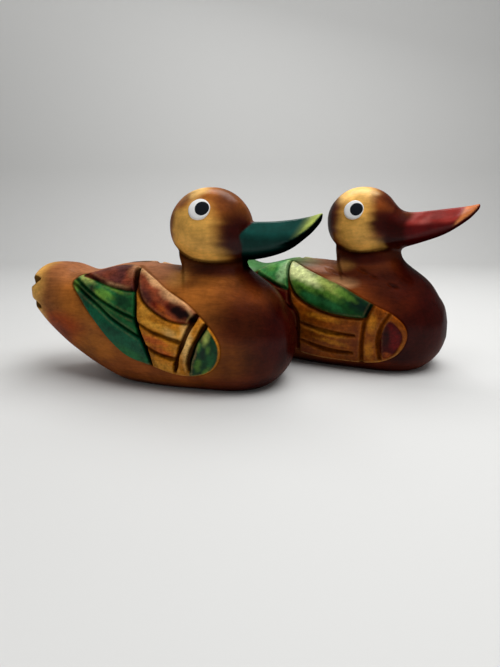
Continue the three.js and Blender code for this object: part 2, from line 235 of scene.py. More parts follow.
def closed_run(values, per_side=6):
    """A smooth closed line through side-view points."""
    values = [tuple(v) for v in values]
    ring = values[-2:] + values + values[:2]
    line = smooth_run(ring, per_side * (len(ring) - 1) + 1)
    return line[2 * per_side: -(2 * per_side + 1) + per_side]


def ramp(value, start, end):
    """0 up to the start and 1 from the end on, with soft shoulders."""
    t = np.clip((value - start) / (end - start), 0, 1)
    return t * t * (3 - 2 * t)


def fade(value, start, end):
    return 1 - ramp(value, start, end)


def join(a, b, blend):
    """Two forms as one, rounded where they meet; meet() keeps what is in both."""
    h = np.maximum(blend - np.abs(a - b), 0) / blend
    return np.minimum(a, b) - h * h * blend / 4


def meet(a, b, blend):
    return -join(-a, -b, blend)


def line_distance(points, line, closed=False, widths=(0,)):
    """How far each side-view point is from a line, less the line's half width there."""
    line = np.asarray(line, float)
    ends = np.roll(line, -1, axis=0) if closed else line[1:]
    best = np.full(len(points), 1e9)
    half = np.interp(np.linspace(0, 1, len(ends) + 1), np.linspace(0, 1, len(widths)), widths)
    for k, (a, b) in enumerate(zip(line, ends)):
        along = b - a
        t = np.clip(((points - a) @ along) / max(along @ along, 1e-9), 0, 1)
        gap = points - a - t[:, None] * along
        best = np.minimum(best, np.sqrt((gap * gap).sum(1)) - (half[k] + t * (half[k + 1] - half[k])))
    return best


def depth_inside(points, line):
    """How deep each side-view point is inside a closed line; negative outside."""
    inside = np.zeros(len(points), bool)
    x, z = points[:, 0], points[:, 1]
    for (ax, az), (bx, bz) in zip(line, np.roll(line, -1, axis=0)):
        crossing = ((az > z) != (bz > z)) & (x < (bx - ax) * (z - az) / ((bz - az) or 1e-9) + ax)
        inside ^= crossing
    return line_distance(points, line, closed=True) * np.where(inside, 1, -1)


def prepare(duck):
    """Samples every station list and carving line of a duck once."""
    for part in ("body", "neck", "bill"):
        duck[part + "_run"] = smooth_run(duck[part], STATION_SAMPLES)
    duck["wing_run"] = closed_run(duck["wing"])
    duck["covert_runs"] = [closed_run(covert) for covert in duck["coverts"]]
    for kind in ("fine", "deep"):
        duck[kind + "_runs"] = [smooth_run(line, 5 * (len(line) - 1) + 1) for line in duck[kind]]
    duck["hollow_run"] = closed_run(duck["hollow"]) if duck["hollow"] else None


def stations(duck, part, at):
    """What a station list gives at each place along it."""
    run = duck[part + "_run"]
    return [np.interp(at, run[:, 0], values) for values in run[:, 1:].T]


def past_ends(duck, part, x):
    run = duck[part + "_run"]
    return np.maximum(run[0, 0] - x, x - run[-1, 0])


def rounded(a, b, square):
    """How far out a point is on a rounded section, which ends at 1."""
    return (np.abs(a)**square + np.abs(b)**square)**(1 / square)


# The block: body, neck, head and bill as one blended form. Negative inside.

def body_form(duck, p):
    x, y, z = p.T
    top, bottom, half = stations(duck, "body", x)
    rise = (top - bottom) / 2
    form = (rounded(y / half, (z - (top + bottom) / 2) / rise, BODY_ROUNDNESS) - 1) * np.minimum(half, rise)
    form = meet(form, past_ends(duck, "body", x), BLEND["end"])
    return meet(form, -z, BLEND["base"])


def tail_notches(duck, p):
    """Positive inside the V cuts round the rim of the tail."""
    x, y, z = p.T
    _, top, bottom, half = duck["body"][2]
    mid, rise = (top + bottom) / 2, (top - bottom) / 2
    power = 2 / BODY_ROUNDNESS
    length = TAIL_NOTCH["length"]
    share = (duck["body"][0][0] + length - x) / (length + TAIL_NOTCH["beyond"])
    cuts = []
    for angle in np.radians(TAIL_NOTCH["angles"]):
        out = np.array([math.cos(angle)**power * half, math.copysign(abs(math.sin(angle))**power, angle) * rise])
        radius = np.hypot(*out)
        out /= radius
        along = np.abs(y) * out[0] + (z - mid) * out[1]
        aside = np.abs((z - mid) * out[0] - np.abs(y) * out[1])
        root = radius * (1 - TAIL_NOTCH["inward"] * share)
        cuts.append(np.minimum((along - root) * TAIL_NOTCH["slope"] - aside, np.where(share > 0, 9, -9)))
    return np.max(cuts, 0) * TAIL_NOTCH["depth"]


def neck_form(duck, p):
    x, y, z = p.T
    middle, length, half = stations(duck, "neck", z)
    away = rounded((x - middle) / length, y / half, np.where(x < middle, NECK_BACK_SQUARE, 2))
    low, high = NECK_SPAN
    return np.maximum((away - 1) * np.minimum(length, half), np.maximum(z - high, low - z))


def head_form(duck, p):
    head, jaw = duck["head"], duck["jaw"]
    away = np.abs(p - head["centre"]) / head["radii"]
    square = np.where(p[:, 2] < head["centre"][2], HEAD_LOW_SQUARE, 2)
    ball = (np.hypot(away[:, 0], rounded(away[:, 1], away[:, 2], square)) - 1) * min(head["radii"])
    away = np.abs(p - jaw["centre"]) / jaw["radii"]
    jowl = ((away**JAW_SQUARE).sum(1)**(1 / JAW_SQUARE) - 1) * jaw["radii"][2]
    return join(ball, jowl, BLEND["jaw"])


def bill_faces(duck, p):
    """How far each point is outside the bill's top, side and underside."""
    x, y, z = p.T
    top, bottom, half = stations(duck, "bill", x)
    away = np.abs(y)
    roof = z - top + BILL_ROOF * ramp(top - bottom, 2, 14) * np.maximum(away - BILL_FLAT * half, 0)
    keel = bottom - z + BILL_KEEL * (top - bottom) * (away / half)**2
    return roof, away - half, keel


def bill_form(duck, p):
    roof, side, keel = bill_faces(duck, p)
    form = meet(meet(roof, side, BLEND["roof"]), keel, BLEND["keel"])
    return meet(form, past_ends(duck, "bill", p[:, 0]), BLEND["bill_end"])


def past_saw_line(duck, p):
    """How far a point is ahead of the line where the back of the neck was sawn down into the body."""
    line = duck["saw_line"]
    return p[:, 0] - line["x"] - line["lean"] * np.maximum(np.abs(p[:, 1]) - line["from"], 0)


def block_form(duck, p):
    body = np.maximum(body_form(duck, p), tail_notches(duck, p))
    fillet = np.interp(past_saw_line(duck, p), FILLET["ahead"], FILLET["width"])
    form = join(body, neck_form(duck, p), 0.7 + fillet * ramp(p[:, 2], 40, 55))
    form = join(form, head_form(duck, p), BLEND["head"])
    return join(form, bill_form(duck, p), duck["bill_blend"])


def slope_of(form, p):
    steps = np.eye(3) * PROBE
    return np.stack([(form(p + step) - form(p - step)) / (2 * PROBE) for step in steps], 1)


def settle(form, p, rounds=2):
    """Moves points onto the form's surface."""
    for _ in range(rounds):
        slope = slope_of(form, p)
        p = p - slope * np.clip(form(p) / np.maximum((slope**2).sum(1), 1e-4), -1, 1)[:, None]
    return p


# The skin: a net round the form, made finer where the carving is.

def net_of(form, low, high, step):
    """Points and triangles of a net laid over the form's surface in a grid of cells."""
    axes = [np.arange(a, b + step, step) for a, b in zip(low, high)]
    grid = np.stack(np.meshgrid(*axes, indexing="ij"), -1)
    value = form(grid.reshape(-1, 3)).reshape(grid.shape[:3])
    cells = np.array(value.shape) - 1
    index, unit = np.indices(cells), np.eye(3, dtype=int)
    total, count = np.zeros((3, *cells)), np.zeros(cells)
    crossings = []
    for axis in range(3):
        near = np.take(value, range(cells[axis]), axis)
        far = np.take(value, range(1, cells[axis] + 1), axis)
        cross = (near < 0) != (far < 0)
        share = np.where(cross, near / np.where(cross, near - far, 1), 0)
        crossings.append((cross, near < 0))
        u, v = [k for k in range(3) if k != axis]
        for du, dv in np.ndindex(2, 2):
            cut = tuple(slice(o, o + n) for o, n in zip(du * unit[u] + dv * unit[v], cells))
            hit = cross[cut]
            count += hit
            for k, place in ((axis, share[cut]), (u, du), (v, dv)):
                total[k] += np.where(hit, index[k] + place, 0)
    used = count > 0
    number = np.full(cells, -1)
    number[used] = np.arange(used.sum())
    points = np.stack([low[k] + step * total[k][used] / count[used] for k in range(3)], 1)
    faces = []
    for axis, (cross, inside_near) in enumerate(crossings):
        u, v = [(1, 2), (2, 0), (0, 1)][axis]
        at = np.argwhere(cross)
        at = at[((at > 0) & (at < cells))[:, [u, v]].all(1)]
        corners = [at - du * unit[u] - dv * unit[v] for du, dv in ((1, 1), (0, 1), (0, 0), (1, 0))]
        ring = np.stack([number[tuple(corner.T)] for corner in corners], 1)
        outward = inside_near[tuple(at.T)]
        faces.append(np.where(outward[:, None], ring, ring[:, ::-1]))
    quads = np.concatenate(faces)
    return points, np.concatenate([quads[:, [0, 1, 2]], quads[:, [0, 2, 3]]])


def split_long(points, faces, wanted):
    """Halves every edge that is longer than is wanted at its middle."""
    sides = np.sort(np.concatenate([faces[:, [0, 1]], faces[:, [1, 2]], faces[:, [2, 0]]]), 1)
    edges, back = np.unique(sides, axis=0, return_inverse=True)
    middle = points[edges].mean(1)
    length = np.linalg.norm(points[edges[:, 0]] - points[edges[:, 1]], axis=1)
    long = length > TOO_LONG * wanted(middle)
    new = np.full(len(edges), -1)
    new[long] = len(points) + np.arange(long.sum())
    points = np.concatenate([points, middle[long]])
    mids = new[back.reshape(3, -1).T]
    halved = (mids >= 0).sum(1)
    made = [faces[halved == 0]]
    for turn in range(3):
        order = [(k + turn) % 3 for k in range(3)]
        f, m = faces[:, order], mids[:, order]
        one = (halved == 1) & (m[:, 0] >= 0)
        (a, b, c), ab = f[one].T, m[one, 0]
        made += [np.stack([a, ab, c], 1), np.stack([ab, b, c], 1)]
        two = (halved == 2) & (m[:, 2] < 0)
        (a, b, c), (ab, bc) = f[two].T, m[two, :2].T
        made += [np.stack([ab, b, bc], 1), np.stack([a, ab, bc], 1), np.stack([a, bc, c], 1)]
    three = halved == 3
    (a, b, c), (ab, bc, ca) = faces[three].T, mids[three].T
    made += [np.stack(s, 1) for s in ((a, ab, ca), (ab, b, bc), (ca, bc, c), (ab, bc, ca))]
    return points, np.concatenate(made)


# The carving of the wings, from their side view.

def wing_marks(duck, p):
    """How deep each point is in the wing and its coverts, and how far from its cuts."""
    flat = p[:, [0, 2]]
    strip = np.abs(p[:, 1]) - np.interp(p[:, 0], BACK_STRIP["x"], BACK_STRIP["half"])
    marks = {"strip": strip, "edge": depth_inside(flat, duck["wing_run"])}
    marks["coverts"] = [np.minimum(depth_inside(flat, run), strip) for run in duck["covert_runs"]]
    for kind in ("fine", "deep"):
        lines = zip(duck[kind + "_runs"], duck[kind + "_half"])
        gaps = [line_distance(flat, run, widths=half) for run, half in lines]
        marks[kind] = np.min([np.full(len(p), FAR), *gaps], 0)
    hollow = duck["hollow_run"]
    marks["hollow"] = np.full(len(p), -FAR) if hollow is None else depth_inside(flat, hollow)
    return marks


def on_wing(marks, start, end):
    """1 on the wing, falling to 0 at its outline and at the strip along the back."""
    return ramp(marks["edge"], start, end) * ramp(marks["strip"], start, end)


def wanted_edge(duck, p):
    """How long the skin's edges may be at each point."""
    marks, (x, y, z) = wing_marks(duck, p), p.T
    edge, strip = marks["edge"], marks["strip"]
    near_cut = np.where(edge > -2, np.maximum(np.minimum(marks["fine"], marks["deep"]), 0), FAR)
    near_strip = np.where(edge > -1, np.abs(strip), FAR)
    near = np.min([near_cut, np.abs(edge), near_strip, np.abs(marks["hollow"])], 0)
    medium = (near < BESIDE_CUT) | (edge > 0) & (strip > 0)
    size = np.where(near < AT_CUT, FINE_EDGE, np.where(medium, MEDIUM_EDGE, NET_STEP))
    size = np.where(tail_notches(duck, p) > -1.5, np.minimum(size, MEDIUM_EDGE), size)
    for (nick_x, nick_z), (long, tall), _ in duck["nicks"]:
        nicked = (np.abs(x - nick_x) < long + 2) & (np.abs(z - nick_z) < tall + 2.5) & (y < 0)
        size = np.where(nicked, NICK_EDGE, size)
    neck = neck_form(duck, p)
    crease = (np.abs(neck - head_form(duck, p)) < 1.5) & (z > 60)
    sawn = (np.abs(past_saw_line(duck, p)) < 1.5) & (neck < 9) & (np.abs(z - 60) < 10)
    bill = x > duck["bill"][2][0]
    return np.where(crease | bill | sawn | (z > HEAD_FROM), np.minimum(size, HEAD_EDGE), size)


def carved_height(duck, p, marks):
    """How far the skin stands out from the plain form on the wings, and sinks in at the cuts."""
    x, y, z = p.T
    edge, strip = marks["edge"], marks["strip"]
    off_strip = (1 - STRIP_SHARE) * ramp(strip, 0, EDGE_RUN) + STRIP_SHARE * ramp(strip, 0, STRIP_RUN)
    inside = ramp(edge, 0, EDGE_RUN) * off_strip
    height = WING_RELIEF * inside
    for depth in marks["coverts"]:
        height = height + COVERT_RELIEF * ramp(depth, 0, EDGE_RUN) * inside
    to_cut = np.maximum(np.min([marks["fine"], marks["deep"], edge], 0), 0)
    height = height + PILLOW * inside * (1 - np.exp(-to_cut / PILLOW_RUN))
    for kind, cut in duck["cuts"].items():
        height = height - cut["depth"] * inside * fade(marks[kind], -0.4, cut["soft"])
    height = height - HOLLOW_DEPTH * inside * ramp(marks["hollow"], -0.3, 0.6)
    for (nick_x, nick_z), (long, tall), depth in duck["nicks"]:
        away = np.hypot((x - nick_x) / long, (z - nick_z + NICK_SLANT * (x - nick_x)) / tall)
        height = height - depth * fade(away, 0, 1) * (y < 0)
    return height


def hand_unevenness(p):
    """The slow dips and swells that a knife and sandpaper leave."""
    x, y, z = p.T
    slow = np.sin(x / 7.3 + 1.1) * np.sin(z / 6.1 + 0.4)
    quick = np.sin(x / 4.1 + y / 9.7) * np.sin(z / 3.9 + y / 5.3)
    return 0.12 * slow + 0.09 * quick + 0.08 * np.sin(y / 4.7 + z / 8.9 + 2.0)


# Stains and paints, as linear colours, and how thick and how sharp-edged they are.

def tint(red, green, blue):
    """A linear colour from the values a picture shows, 0 to 255."""
    shown = np.array((red, green, blue)) / 255
    return np.where(shown <= 0.04045, shown / 12.92, ((shown + 0.055) / 1.055)**2.4)


HONEY = tint(226, 170, 82)
CROWN = tint(236, 188, 112)
AMBER = tint(152, 88, 32)
RUSSET = tint(122, 58, 20)
CHESTNUT = tint(78, 24, 8)
UMBER_AND_SHADE = tint(46, 6, 3)
NEARLY_BLACK = tint(20, 6, 6)
BACK_BROWN_AND_SHEEN = tint(152, 100, 70)
RUST = tint(142, 54, 6)
TAIL_BROWN = tint(146, 88, 50)
BARE_AND_GLINT = tint(222, 172, 98)
LEAF_GREEN = tint(86, 128, 44)
MID_GREEN = tint(30, 92, 46)
DEEP_GREEN = tint(8, 56, 28)
TEAL = tint(8, 50, 44)
FEATHER_TEAL = tint(10, 74, 48)
NIGHT_GREEN = tint(3, 26, 18)
YELLOW_GREEN = tint(166, 180, 88)
PALE_GREEN = tint(212, 220, 152)
GRASS_GREEN = tint(14, 58, 20)
PURPLE_BROWN = tint(82, 40, 36)
RED_BROWN = tint(126, 58, 34)
DEEP_RED = tint(96, 20, 6)
TAN = tint(206, 156, 108)
OCHRE = tint(186, 116, 28)
GOLD = tint(212, 150, 54)
ORANGE_OCHRE = tint(172, 82, 28)
BURNT_OCHRE = tint(138, 68, 12)
MAROON = tint(84, 10, 10)
LIT_BILL_RED = tint(126, 36, 30)
SCUFF_AND_HIGHLIGHT_RED = tint(186, 116, 108)
ORANGE_WOOD = tint(218, 132, 76)
CUT_STAIN_AND_SHADE_DARK = (0.07, 0.045, 0.04, 1)
HEAD_COVER = 0.55
KEEL_SHADE = 0.7
PAINT_EDGE = (-0.2, 0.5)


def spread(amount, colour, over):
    return over + (colour - over) * np.clip(amount, 0, 1)[:, None]


def layered(ground, *coats):
    """Coats over a ground, each given as how much of it there is and its colour."""
    for amount, colour in coats:
        ground = spread(amount, colour, ground)
    return ground


def blob(p, centre, radii):
    """1 at a soft-edged patch's centre, 0 from its edge outwards; the same on both sides of the duck."""
    x, y, z = p.T
    away = np.linalg.norm((np.stack([x, np.abs(y), z], 1) - centre) / radii, axis=1)
    return fade(away, 0.4, 1)


def airbrushed(p, colour, patches, head=1):
    """Patches over a colour: middle, reach, strength, and a shade if not umber. High ones keep to the head."""
    for centre, radii, amount, *shade in patches:
        only = head if centre[2] > HEAD_FROM else 1
        colour = spread(amount * only * blob(p, centre, radii), *(shade or [UMBER_AND_SHADE]), colour)
    return colour


def above(line, x, z):
    """How far a point is above a line that runs along the wing."""
    run, rise = zip(*sorted(line))
    return z - np.interp(x, run, rise)


def ahead_of(line, x, z):
    """How far a point is ahead of a line that runs up the wing."""
    return above([q[::-1] for q in line], z, x)


def touched(p, colour, touches, lean):
    """Soft touches of the brush on the wing: side-view place, reach along and up, shade, strength."""
    run, _, rise = p.T
    ripple = 0.1 * np.sin(run * 0.9 + 1) * np.sin(rise * 1.3)
    for x, z, along, up, shade, amount in touches:
        away = np.hypot((run - x) / along, (rise - z + lean * (run - x)) / up) + ripple
        colour = spread(amount * fade(away, 0.2, 1), shade, colour)
    return colour


def on_head(duck, p):
    """1 on the head and the jaw, 0 from a millimetre off them."""
    return fade(head_form(duck, p), 0.2, 0.8)


def block_stain(duck, p, dark_patches, honey_patches, breast, ground):
    """The stain of the bare block, before the wings and the bill are painted, with painted shade under the head
    and partly a painted sheen on the back.
    """
    x, y, z = p.T
    head = on_head(duck, p)
    # On the head the brush left its strokes at the edges of the patches.
    strokes = (0.45 * np.sin(1.35 * z + 0.1 * x) + 0.55 * np.sin(0.8 * z + 2) + 0.2 * np.sin(2.1 * z)) * head
    brushed = np.stack([x + strokes, y, z], 1)
    colour = layered(ground, (0.75 * ramp(-z, -44, -14), RUSSET),
                     (0.8 * fade(x, -74, -52) * ramp(z, 30, 48), TAIL_BROWN))
    colour = airbrushed(brushed, colour, honey_patches, head)
    # The top of the back is a lighter, greyer brown, partly its stain and partly a painted sheen.
    back = ramp(z, 52, 62) * fade(x, -2, 16) * ramp(x, -80, -50) * fade(z, 67, 69)
    rim = x - duck["body"][0][0] + 1.5 * np.sin(z / 3.1) * np.sin(y / 3.7)
    colour = layered(colour, (0.7 * back, BACK_BROWN_AND_SHEEN),
                     (breast * ramp(x - 0.25 * z, 6, 34) * fade(z, 60, 74), CHESTNUT),
                     (0.9 * fade(rim, 5, 18) * ramp(z, 28, 38), HONEY))
    colour = airbrushed(brushed, colour, dark_patches)
    # Painted shade on the neck just under the overhanging head.
    painted_shade_under_head = (1 - head) * fade(head_form(duck, p), 1, 8) * ramp(z, 54, 62)
    return spread(0.75 * painted_shade_under_head, UMBER_AND_SHADE, colour)


# Airbrushed patches: middle, reach, strength (and shade). The far side is given the same.
FRONT_DARK = [
    ((46, 12, 81), (24, 26, 20), 1), ((40, 16, 86), (11, 14, 14), 0.7), ((38, 0, 100), (20, 26, 15), 0.6),
    # The patch at (27, 8, 64), on the neck just under the head, is painted shade.
    ((-5, 4, 86), (10, 20, 20), 0.6), ((45, 10, 71), (10, 14, 7), 0.9), ((27, 8, 64), (24, 18, 6), 0.9),
    ((50, 0, 62), (20, 24, 15), 0.9), ((66, 10, 32), (26, 34, 30), 1), ((62, 26, 20), (26, 20, 18), 0.6),
    ((60, 16, 1), (36, 28, 13), 0.95), ((10, 22, -4), (76, 26, 10), 0.9), ((50, 28, 40), (22, 18, 15), 0.65),
    ((-62, 22, 27), (15, 14, 7), 0.3), ((-66, 0, 66), (22, 22, 10), 0.16), ((16, 12, 57), (24, 18, 12), 0.3),
    ((34, 24, 44), (24, 20, 18), 0.15),
]
FRONT_HONEY = [
    ((-60, 22, 31), (28, 14, 13), 0.9, RUST), ((15, 18, 84), (22, 20, 22), 1, HONEY),
    ((12, 6, 105), (14, 18, 9), 1, CROWN), ((24, 16, 73), (18, 14, 9), 1, HONEY),
    ((8, 16, 60), (9, 12, 9), 0.3, HONEY), ((-40, 28, 22), (26, 14, 12), 0.25, OCHRE),
    ((36, 34, 20), (26, 14, 15), 0.8, OCHRE), ((10, 9, 100), (8, 13, 7), 0.8, RUSSET),
    ((1, 8, 89), (7.5, 15, 17), 0.75, RUSSET), ((35, 14, 99), (9, 12, 8), 0.6, RUSSET),
]
REAR_DARK = [
    ((33, 16, 88), (14, 18, 10), 0.95), ((42, 14, 82), (20, 20, 20), 1), ((35, 0, 100), (15, 16, 11), 0.8),
    # The patch at (20, 8, 66), on the neck just under the head, is painted shade.
    ((-8, 4, 90), (21, 26, 24), 1), ((20, 8, 66), (26, 18, 6), 0.9), ((50, 0, 60), (22, 26, 20), 0.95),
    ((68, 10, 38), (32, 40, 32), 1), ((56, 28, 22), (30, 22, 28), 0.9), ((10, 22, -4), (76, 26, 14), 1),
    ((14, 16, 56), (20, 14, 9), 0.5), ((-78, 12, 32), (16, 16, 13), 0.8), ((-24, 30, 14), (40, 16, 12), 0.5),
    ((38, 22, 52), (24, 18, 14), 0.65), ((20, 14, 56), (28, 18, 12), 0.65),
]
REAR_HONEY = [
    ((12, 10, 105), (18, 18, 12), 1, CROWN), ((15, 18, 86), (15, 14, 26), 1, HONEY),
    ((27, 16, 73), (22, 14, 8), 1, HONEY), ((10, 14, 62), (9, 10, 6), 0.5, HONEY),
    ((10, 24, 53), (14, 12, 5), 0.6, TAN), ((-50, 24, 32), (36, 14, 14), 0.3, HONEY),
]

FRONT_GREENS = [
    (-47, 59, 12, 4, YELLOW_GREEN, 0.9), (-37, 53, 7, 2.6, NIGHT_GREEN, 0.9),
    (-31, 50.5, 8, 3, LEAF_GREEN, 0.9), (-28, 51.5, 8, 2.2, LEAF_GREEN, 0.8),
    (-18, 49, 8, 7, NIGHT_GREEN, 0.75), (-28, 55.5, 15, 1.8, LEAF_GREEN, 0.8),
    (-52, 54, 7, 4, LEAF_GREEN, 0.8), (-28, 44, 16, 3.4, MID_GREEN, 0.7), (-13, 36, 8, 4, MID_GREEN, 0.6),
    (-14, 22, 18, 4, MID_GREEN, 0.8), (-24, 34, 9, 4, NIGHT_GREEN, 0.5), (-40, 48, 8, 3, NIGHT_GREEN, 0.5),
]
FRONT_COVERT_TOUCHES = [
    (-9, 53, 8, 6, PURPLE_BROWN, 0.8), (-3, 55, 7, 3, RED_BROWN, 0.8), (2, 47, 6, 3, DEEP_RED, 0.8),
    (-4, 51, 5, 4, PURPLE_BROWN * 0.7, 0.8), (6, 51.5, 6, 2.4, TAN, 0.5), (5, 46, 4, 2.4, ORANGE_OCHRE, 0.7),
    (10, 41.5, 12, 1.6, ORANGE_OCHRE, 0.7), (9, 46.5, 3.4, 2, DEEP_RED, 0.9),
    (14, 45, 9, 4.4, NEARLY_BLACK, 1), (20, 43, 8, 4, NEARLY_BLACK, 1), (14, 44.5, 6, 3, NEARLY_BLACK, 1),
]
REAR_COVERT_TOUCHES = [
    (-34, 61, 12, 5, RED_BROWN, 0.6), (-36, 64, 8, 4, UMBER_AND_SHADE, 0.6), (-17, 60, 5, 9, RED_BROWN, 0.8),
    (-17, 64, 4, 6, TAN, 0.35), (-26, 55.3, 14, 1.6, TAN, 0.6), (-44, 60, 6, 4, RED_BROWN, 0.6),
]
FRONT_OCHRES = [
    (2, 37.5, 16, 2.8, GOLD, 0.9), (-5, 44, 6, 5, GOLD, 0.6), (10, 34, 6, 3.5, CROWN, 0.6),
    (0, 30, 12, 3.4, ORANGE_OCHRE, 1), (4, 24.5, 13, 3.2, ORANGE_OCHRE, 0.9), (5, 16.5, 12, 3, GOLD, 0.6),
    (14, 34, 5, 4, GOLD, 0.5), (18.5, 30, 4.5, 20, CROWN, 0.9), (-2, 34, 12, 1.6, DEEP_RED, 0.4),
    (6, 22.5, 9, 1.8, DEEP_RED, 0.7),
]
SPOT_TOUCHES = [
    (29, 33, 3, 5, YELLOW_GREEN, 0.8), (24, 18.5, 3, 5, LEAF_GREEN, 0.8), (27, 25, 3, 4, NIGHT_GREEN, 0.8),
    (31, 21, 3, 5, MID_GREEN, 0.8), (25, 28, 2, 3, LEAF_GREEN, 0.7), (28, 15.5, 4, 2, LEAF_GREEN, 0.9),
    (30, 27, 2, 3, LEAF_GREEN, 0.6), (23, 25, 2, 5, NIGHT_GREEN, 0.7),
]


def front_paint(duck, p, marks):
    """The front duck's stain with its painted wings, and where the paint is thick."""
    x, _, z = p.T
    inside = on_wing(marks, *PAINT_EDGE)
    primary = ramp(-ahead_of(duck["deep"][0], x, z), -0.5, 0.5)
    behind, before = (ramp(depth, *PAINT_EDGE) for depth in marks["coverts"])
    green = layered(DEEP_GREEN, (ramp(above(duck["fine"][1], x, z), -0.5, 1), MID_GREEN),
                    (ramp(-above(duck["fine"][2], x, z), -0.5, 1), FEATHER_TEAL))
    ridge = fade(marks["edge"] + 0.7 * np.sin(x / 2.1), 1.2, 3.6) * fade(x, 16, 24)
    spot = ramp(ahead_of(duck["deep"][2], x, z), -0.4, 0.6)
    rim = fade(marks["edge"], 0.6, 1.3)
    feathers = layered(
        touched(p, OCHRE * 0.9, FRONT_OCHRES, 0.25),
        (ramp(z, 50, 56), RED_BROWN),
        (primary, touched(p, green, FRONT_GREENS, 0.35)),
        (behind, touched(p, PURPLE_BROWN, REAR_COVERT_TOUCHES, 0.1)),
        (before, spread(ridge * 0.85, TAN, touched(p, RED_BROWN, FRONT_COVERT_TOUCHES, 0.45))),
        (spot, touched(p, DEEP_GREEN, SPOT_TOUCHES, -0.8)),
        (spot * rim, OCHRE * 0.9),
    )
    block = block_stain(duck, p, FRONT_DARK, FRONT_HONEY, 0.8, AMBER)
    return spread(inside, feathers, block), inside * np.clip(primary * (1 - behind) + spot * (1 - rim), 0, 1)


REAR_GREENS = [
    (-17, 48, 6, 4, LEAF_GREEN, 0.6), (-6, 44, 9, 4, MID_GREEN, 0.8), (8, 40, 10, 3, MID_GREEN, 0.8),
    (-12, 50.5, 14, 4, LEAF_GREEN, 0.9), (4, 46, 12, 3.5, LEAF_GREEN, 0.7), (22, 42, 10, 7, NIGHT_GREEN, 0.95),
    (30, 38, 8, 8, NIGHT_GREEN, 1), (-20, 57, 11, 5.5, PALE_GREEN, 0.95), (-10, 54, 14, 5, PALE_GREEN, 0.85),
    (4, 50, 14, 4, YELLOW_GREEN, 0.75), (14, 46, 10, 3, LEAF_GREEN, 0.8),
]
REAR_BEHIND_GREENS = [
    (-27, 56, 5, 9, tint(150, 186, 130), 0.7), (-36, 50, 9, 3, DEEP_GREEN, 0.6),
    (-36, 58, 7, 4, LEAF_GREEN, 0.5),
]
REAR_BACK_GREEN = [
    ((-16, 8, 61), (15, 13, 7), 0.6, tint(62, 84, 62)), ((-44, 0, 60), (37, 36, 19), 0.95, tint(48, 104, 54)),
]
REAR_OCHRES = [
    (2, 33, 16, 2.6, OCHRE, 0.9), (4, 24, 16, 2.6, OCHRE, 0.9), (8, 19, 14, 2.2, OCHRE, 0.7),
    (-12, 38, 8, 8, BURNT_OCHRE, 0.6), (-10, 10, 12, 8, CHESTNUT, 0.7), (22, 20, 4, 16, CHESTNUT, 0.5),
]
BAND_TOUCHES = [
    (31, 32, 4, 8, OCHRE, 0.9), (30, 16, 4, 8, OCHRE, 0.7), (47, 17, 5, 9, OCHRE, 0.3),
    (36, 8, 10, 3, OCHRE, 0.6),
]
LEAF_TOUCHES = [
    (44, 22, 4, 8, MAROON * 1.6, 0.8), (39, 24, 3, 12, UMBER_AND_SHADE, 1), (40, 13.5, 4, 2.5, ORANGE_OCHRE, 0.7),
]


def rear_paint(duck, p, marks):
    """The rear duck's stain with its painted wings, and where the paint is thick."""
    fine, (x, _, z) = duck["fine"], p.T
    inside = on_wing(marks, *PAINT_EDGE)
    behind, before = (ramp(depth, *PAINT_EDGE) for depth in marks["coverts"])
    feathers = layered(
        touched(p, BURNT_OCHRE * 0.75, REAR_OCHRES, 0.15),
        (ramp(z, 50, 56), MID_GREEN),
        (ramp(-ahead_of(fine[6], x, z), -0.5, 0.5), MAROON * 0.6),
        (behind, touched(p, tint(46, 112, 54), REAR_BEHIND_GREENS, 0)),
        (before, touched(p, GRASS_GREEN, REAR_GREENS, 0.38)),
        (ramp(ahead_of(fine[7], x, z), -0.4, 0.6), touched(p, BURNT_OCHRE * 0.8, BAND_TOUCHES, 0)),
        (ramp(marks["hollow"], -0.3, 0.5), touched(p, MAROON * 0.8, LEAF_TOUCHES, 0)),
    )
    block = block_stain(duck, p, REAR_DARK, REAR_HONEY, 0.9, RUSSET)
    block = airbrushed(p, block, REAR_BACK_GREEN)
    return spread(inside, feathers, block), inside * np.clip(behind + before, 0, 1)


